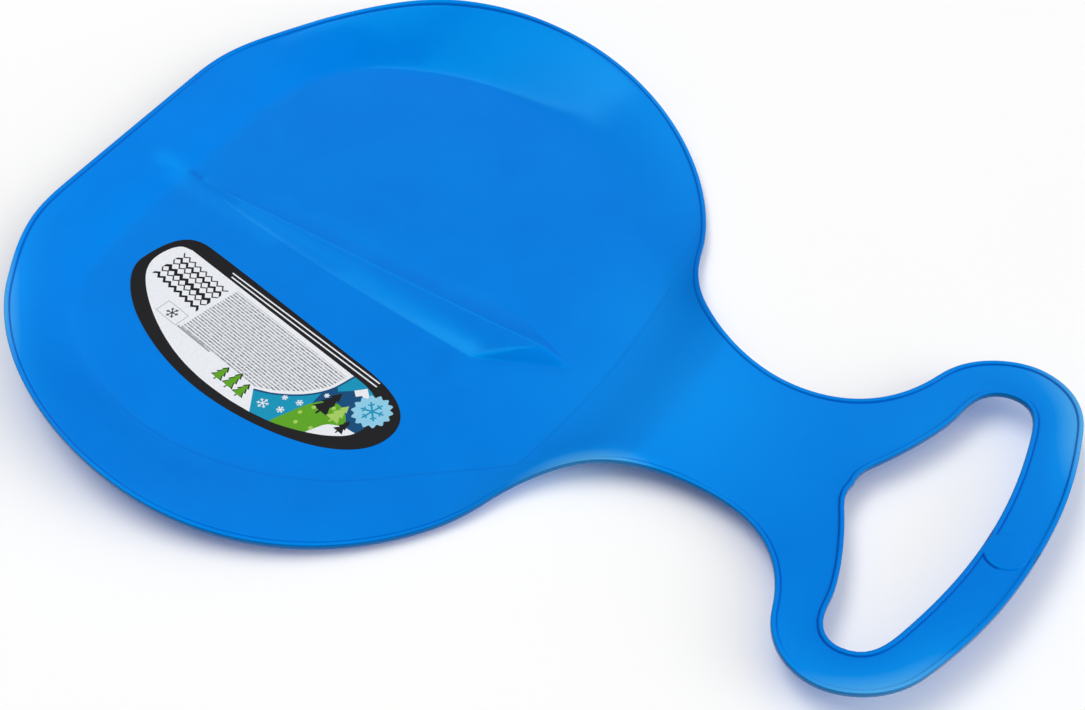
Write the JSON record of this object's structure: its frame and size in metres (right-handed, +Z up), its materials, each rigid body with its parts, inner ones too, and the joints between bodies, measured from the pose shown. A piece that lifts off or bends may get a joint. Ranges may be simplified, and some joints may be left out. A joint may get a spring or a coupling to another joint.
{
  "type": "bum slider",
  "caption": "Hand-held plastic slider for sitting on snow: a shallow dished seat with a low central ridge, a narrow neck and a looped handle.",
  "frame": {"origin": "on the flat underside, below the middle of the whole length and width", "axes": "+X towards the handle, +Y across, +Z up from the underside to the seat"},
  "size_m": [0.44, 0.319, 0.0226],
  "materials": {
    "blue_plastic": "smooth moulded blue plastic, half gloss",
    "label_print": "printed film label, satin"
  },
  "bodies": {
    "root": {"slider_body": "blue_plastic", "label": "label_print"}
  },
  "joints": []
}
